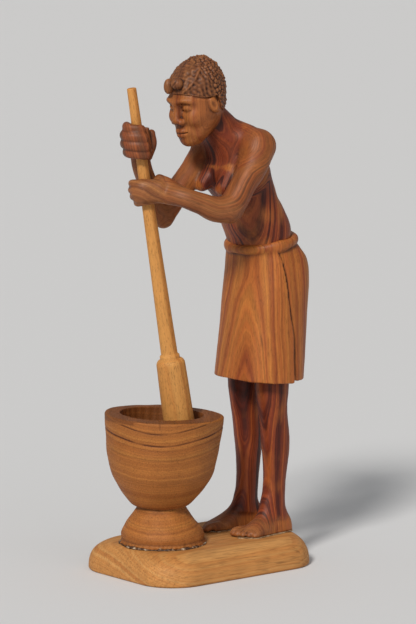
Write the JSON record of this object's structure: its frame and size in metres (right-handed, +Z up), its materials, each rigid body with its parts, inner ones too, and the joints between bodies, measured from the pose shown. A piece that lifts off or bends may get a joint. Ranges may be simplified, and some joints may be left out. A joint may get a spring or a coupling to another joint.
{
  "type": "carved wooden figure",
  "caption": "Carved wooden woman in a wrapped skirt who bends over a footed mortar and holds a loose pestle in her bored fists, all on one base.",
  "frame": {"origin": "centre of the underside of the base", "axes": "+X along the base from the mortar to the figure, +Z up; the figure faces -X, so her left side is -Y"},
  "size_m": [0.1088, 0.074, 0.2501],
  "materials": {
    "base_wood": "sanded pale golden wood, thin wax",
    "mortar_wood": "hand-cut mid-brown wood, thin wax",
    "figure_wood": "hand-carved red-brown heartwood with lighter sapwood, waxed",
    "pestle_wood": "sanded pale golden wood, thin wax",
    "dowel_wood": "plain round dowel stock, unfinished",
    "dried_glue": "hardened whitish wood glue"
  },
  "bodies": {
    "carving": {"base": "base_wood", "mortar": "mortar_wood", "mortar_glue_bead": "dried_glue", "mortar_dowel": "dowel_wood", "figure": "figure_wood", "left_foot_glue": "dried_glue", "left_foot_dowel": "dowel_wood", "right_foot_glue": "dried_glue", "right_foot_dowel": "dowel_wood"},
    "pestle": {"pestle": "pestle_wood"}
  },
  "joints": [
    {"name": "pestle_lift", "type": "slide", "parent": "carving", "child": "pestle", "axis": [-0.1536, 0.0252, 0.9878], "range_m": [0, 0.014]}
  ]
}
